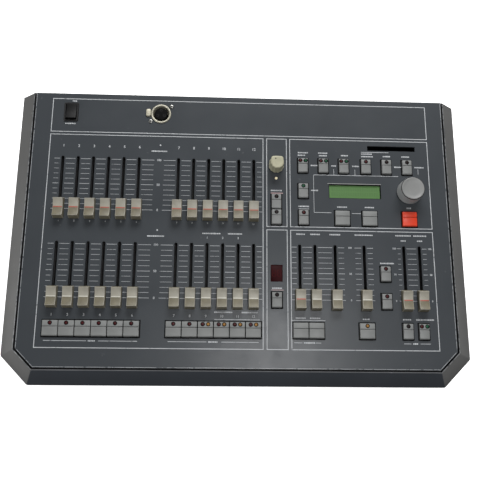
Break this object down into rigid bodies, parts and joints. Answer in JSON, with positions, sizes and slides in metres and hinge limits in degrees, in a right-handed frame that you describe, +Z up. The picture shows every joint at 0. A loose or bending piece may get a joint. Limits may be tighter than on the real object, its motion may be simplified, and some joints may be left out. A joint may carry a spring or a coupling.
{
  "type": "lighting control desk",
  "caption": "Sloping stage lighting desk with rows of channel faders, masters, flash keys, a display, a large dial and a bevelled housing.",
  "frame": {"origin": "under the middle of the desk, on the surface that its feet stand on", "axes": "+X to the operator's right, +Y from the operator to the back, +Z up"},
  "size_m": [0.5204, 0.3346, 0.0989],
  "materials": {
    "housing_plastic": "fine moulded texture, worn at the rim",
    "panel_paint": "satin powder coat",
    "base_paint": "satin",
    "foot_rubber": "matte",
    "screw_steel": "satin",
    "board_laminate": "satin",
    "track_steel": "satin",
    "black_plastic": "satin",
    "black_gloss": "gloss",
    "display_green": "gloss",
    "display_red": "gloss",
    "socket_metal": "satin",
    "transformer_iron": "satin",
    "dial_grey": "satin",
    "knob_cream": "satin",
    "key_grey": "satin",
    "key_red": "satin",
    "cap_cream": "satin"
  },
  "bodies": {
    "desk": {"housing": "housing_plastic", "base_plate": "base_paint", "front_panel": "panel_paint", "rear_wall": "panel_paint", "rubber_feet": "foot_rubber", "screws": "screw_steel", "circuit_board": "board_laminate", "fader_tracks": "track_steel", "control_bodies": "black_plastic", "lcd_module": "display_green", "digit_display": "display_red", "lamp_socket": "socket_metal", "rocker_frame": "black_gloss", "card_reader": "black_plastic", "mains_inlet": "black_plastic", "dmx_sockets": "socket_metal", "power_transformer": "transformer_iron"},
    "socket_latch": {"socket_latch": "socket_metal"},
    "power_rocker": {"power_rocker": "black_gloss"},
    "encoder_knob": {"encoder_knob": "dial_grey"},
    "speed_knob": {"speed_knob": "knob_cream"},
    "flash_keys_1_to_6": {"flash_keys_1_to_6": "key_grey"},
    "flash_keys_7_to_12": {"flash_keys_7_to_12": "key_grey"},
    "column_keys": {"column_keys": "key_grey"},
    "mode_keys": {"mode_keys": "key_grey"},
    "display_keys": {"display_keys": "key_grey"},
    "record_key": {"record_key": "key_red"},
    "fade_keys": {"fade_keys": "key_grey"},
    "bump_keys": {"bump_keys": "key_grey"},
    "go_keys": {"go_keys": "key_grey"},
    "preset_fader_1": {"preset_fader_1": "cap_cream"},
    "preset_fader_2": {"preset_fader_2": "cap_cream"},
    "preset_fader_3": {"preset_fader_3": "cap_cream"},
    "preset_fader_4": {"preset_fader_4": "cap_cream"},
    "preset_fader_5": {"preset_fader_5": "cap_cream"},
    "preset_fader_6": {"preset_fader_6": "cap_cream"},
    "preset_fader_7": {"preset_fader_7": "cap_cream"},
    "preset_fader_8": {"preset_fader_8": "cap_cream"},
    "preset_fader_9": {"preset_fader_9": "cap_cream"},
    "preset_fader_10": {"preset_fader_10": "cap_cream"},
    "preset_fader_11": {"preset_fader_11": "cap_cream"},
    "preset_fader_12": {"preset_fader_12": "cap_cream"},
    "memory_fader_1": {"memory_fader_1": "cap_cream"},
    "memory_fader_2": {"memory_fader_2": "cap_cream"},
    "memory_fader_3": {"memory_fader_3": "cap_cream"},
    "memory_fader_4": {"memory_fader_4": "cap_cream"},
    "memory_fader_5": {"memory_fader_5": "cap_cream"},
    "memory_fader_6": {"memory_fader_6": "cap_cream"},
    "memory_fader_7": {"memory_fader_7": "cap_cream"},
    "memory_fader_8": {"memory_fader_8": "cap_cream"},
    "memory_fader_9": {"memory_fader_9": "cap_cream"},
    "memory_fader_10": {"memory_fader_10": "cap_cream"},
    "memory_fader_11": {"memory_fader_11": "cap_cream"},
    "memory_fader_12": {"memory_fader_12": "cap_cream"},
    "master_fader_1": {"master_fader_1": "cap_cream"},
    "master_fader_2": {"master_fader_2": "cap_cream"},
    "master_fader_3": {"master_fader_3": "cap_cream"},
    "master_fader_4": {"master_fader_4": "cap_cream"},
    "master_fader_5": {"master_fader_5": "cap_cream"},
    "master_fader_6": {"master_fader_6": "cap_cream"}
  },
  "joints": [
    {"name": "preset_fader_1_slide", "type": "slide", "parent": "desk", "child": "preset_fader_1", "axis": [0, 0.9945, 0.1045], "range_m": [0, 0.06]},
    {"name": "preset_fader_2_slide", "type": "slide", "parent": "desk", "child": "preset_fader_2", "axis": [0, 0.9945, 0.1045], "range_m": [0, 0.06]},
    {"name": "preset_fader_3_slide", "type": "slide", "parent": "desk", "child": "preset_fader_3", "axis": [0, 0.9945, 0.1045], "range_m": [0, 0.06]},
    {"name": "preset_fader_4_slide", "type": "slide", "parent": "desk", "child": "preset_fader_4", "axis": [0, 0.9945, 0.1045], "range_m": [0, 0.06]},
    {"name": "preset_fader_5_slide", "type": "slide", "parent": "desk", "child": "preset_fader_5", "axis": [0, 0.9945, 0.1045], "range_m": [0, 0.06]},
    {"name": "preset_fader_6_slide", "type": "slide", "parent": "desk", "child": "preset_fader_6", "axis": [0, 0.9945, 0.1045], "range_m": [0, 0.06]},
    {"name": "preset_fader_7_slide", "type": "slide", "parent": "desk", "child": "preset_fader_7", "axis": [0, 0.9945, 0.1045], "range_m": [0, 0.06]},
    {"name": "preset_fader_8_slide", "type": "slide", "parent": "desk", "child": "preset_fader_8", "axis": [0, 0.9945, 0.1045], "range_m": [0, 0.06]},
    {"name": "preset_fader_9_slide", "type": "slide", "parent": "desk", "child": "preset_fader_9", "axis": [0, 0.9945, 0.1045], "range_m": [0, 0.06]},
    {"name": "preset_fader_10_slide", "type": "slide", "parent": "desk", "child": "preset_fader_10", "axis": [0, 0.9945, 0.1045], "range_m": [0, 0.06]},
    {"name": "preset_fader_11_slide", "type": "slide", "parent": "desk", "child": "preset_fader_11", "axis": [0, 0.9945, 0.1045], "range_m": [0, 0.06]},
    {"name": "preset_fader_12_slide", "type": "slide", "parent": "desk", "child": "preset_fader_12", "axis": [0, 0.9945, 0.1045], "range_m": [0, 0.06]},
    {"name": "memory_fader_1_slide", "type": "slide", "parent": "desk", "child": "memory_fader_1", "axis": [0, 0.9945, 0.1045], "range_m": [0, 0.06]},
    {"name": "memory_fader_2_slide", "type": "slide", "parent": "desk", "child": "memory_fader_2", "axis": [0, 0.9945, 0.1045], "range_m": [0, 0.06]},
    {"name": "memory_fader_3_slide", "type": "slide", "parent": "desk", "child": "memory_fader_3", "axis": [0, 0.9945, 0.1045], "range_m": [0, 0.06]},
    {"name": "memory_fader_4_slide", "type": "slide", "parent": "desk", "child": "memory_fader_4", "axis": [0, 0.9945, 0.1045], "range_m": [0, 0.06]},
    {"name": "memory_fader_5_slide", "type": "slide", "parent": "desk", "child": "memory_fader_5", "axis": [0, 0.9945, 0.1045], "range_m": [0, 0.06]},
    {"name": "memory_fader_6_slide", "type": "slide", "parent": "desk", "child": "memory_fader_6", "axis": [0, 0.9945, 0.1045], "range_m": [0, 0.06]},
    {"name": "memory_fader_7_slide", "type": "slide", "parent": "desk", "child": "memory_fader_7", "axis": [0, 0.9945, 0.1045], "range_m": [0, 0.06]},
    {"name": "memory_fader_8_slide", "type": "slide", "parent": "desk", "child": "memory_fader_8", "axis": [0, 0.9945, 0.1045], "range_m": [0, 0.06]},
    {"name": "memory_fader_9_slide", "type": "slide", "parent": "desk", "child": "memory_fader_9", "axis": [0, 0.9945, 0.1045], "range_m": [0, 0.06]},
    {"name": "memory_fader_10_slide", "type": "slide", "parent": "desk", "child": "memory_fader_10", "axis": [0, 0.9945, 0.1045], "range_m": [0, 0.06]},
    {"name": "memory_fader_11_slide", "type": "slide", "parent": "desk", "child": "memory_fader_11", "axis": [0, 0.9945, 0.1045], "range_m": [0, 0.06]},
    {"name": "memory_fader_12_slide", "type": "slide", "parent": "desk", "child": "memory_fader_12", "axis": [0, 0.9945, 0.1045], "range_m": [0, 0.06]},
    {"name": "master_fader_1_slide", "type": "slide", "parent": "desk", "child": "master_fader_1", "axis": [0, 0.9945, 0.1045], "range_m": [0, 0.06]},
    {"name": "master_fader_2_slide", "type": "slide", "parent": "desk", "child": "master_fader_2", "axis": [0, 0.9945, 0.1045], "range_m": [0, 0.06]},
    {"name": "master_fader_3_slide", "type": "slide", "parent": "desk", "child": "master_fader_3", "axis": [0, 0.9945, 0.1045], "range_m": [0, 0.06]},
    {"name": "master_fader_4_slide", "type": "slide", "parent": "desk", "child": "master_fader_4", "axis": [0, 0.9945, 0.1045], "range_m": [0, 0.06]},
    {"name": "master_fader_5_slide", "type": "slide", "parent": "desk", "child": "master_fader_5", "axis": [0, 0.9945, 0.1045], "range_m": [0, 0.06]},
    {"name": "master_fader_6_slide", "type": "slide", "parent": "desk", "child": "master_fader_6", "axis": [0, 0.9945, 0.1045], "range_m": [0, 0.06]},
    {"name": "flash_keys_1_to_6_press", "type": "slide", "parent": "desk", "child": "flash_keys_1_to_6", "axis": [0, 0.1045, -0.9945], "range_m": [0, 0.0015], "stiffness_N_per_m": 1200, "springref_m": -0.001},
    {"name": "flash_keys_7_to_12_press", "type": "slide", "parent": "desk", "child": "flash_keys_7_to_12", "axis": [0, 0.1045, -0.9945], "range_m": [0, 0.0015], "stiffness_N_per_m": 1200, "springref_m": -0.001},
    {"name": "column_keys_press", "type": "slide", "parent": "desk", "child": "column_keys", "axis": [0, 0.1045, -0.9945], "range_m": [0, 0.0015], "stiffness_N_per_m": 600, "springref_m": -0.001},
    {"name": "mode_keys_press", "type": "slide", "parent": "desk", "child": "mode_keys", "axis": [0, 0.1045, -0.9945], "range_m": [0, 0.0015], "stiffness_N_per_m": 1200, "springref_m": -0.001},
    {"name": "display_keys_press", "type": "slide", "parent": "desk", "child": "display_keys", "axis": [0, 0.1045, -0.9945], "range_m": [0, 0.0015], "stiffness_N_per_m": 800, "springref_m": -0.001},
    {"name": "record_key_press", "type": "slide", "parent": "desk", "child": "record_key", "axis": [0, 0.1045, -0.9945], "range_m": [0, 0.0015], "stiffness_N_per_m": 200, "springref_m": -0.001},
    {"name": "fade_keys_press", "type": "slide", "parent": "desk", "child": "fade_keys", "axis": [0, 0.1045, -0.9945], "range_m": [0, 0.0015], "stiffness_N_per_m": 400, "springref_m": -0.001},
    {"name": "bump_keys_press", "type": "slide", "parent": "desk", "child": "bump_keys", "axis": [0, 0.1045, -0.9945], "range_m": [0, 0.0015], "stiffness_N_per_m": 600, "springref_m": -0.001},
    {"name": "go_keys_press", "type": "slide", "parent": "desk", "child": "go_keys", "axis": [0, 0.1045, -0.9945], "range_m": [0, 0.0015], "stiffness_N_per_m": 400, "springref_m": -0.001},
    {"name": "socket_latch_press", "type": "slide", "parent": "desk", "child": "socket_latch", "axis": [0, 0.1045, -0.9945], "range_m": [0, 0.0012], "stiffness_N_per_m": 200, "springref_m": -0.001},
    {"name": "power_rocker_tilt", "type": "hinge", "parent": "desk", "child": "power_rocker", "pos_m": [-0.1996, 0.14264, 0.08674], "axis": [1, 0, 0], "range_deg": [0, 16]},
    {"name": "encoder_turn", "type": "hinge", "parent": "desk", "child": "encoder_knob", "pos_m": [0.1966, 0.05213, 0.07924], "axis": [0, -0.1045, 0.9945], "continuous": true},
    {"name": "speed_knob_turn", "type": "hinge", "parent": "desk", "child": "speed_knob", "pos_m": [0.0413, 0.08077, 0.08225], "axis": [0, -0.1045, 0.9945], "range_deg": [-150, 150]}
  ]
}
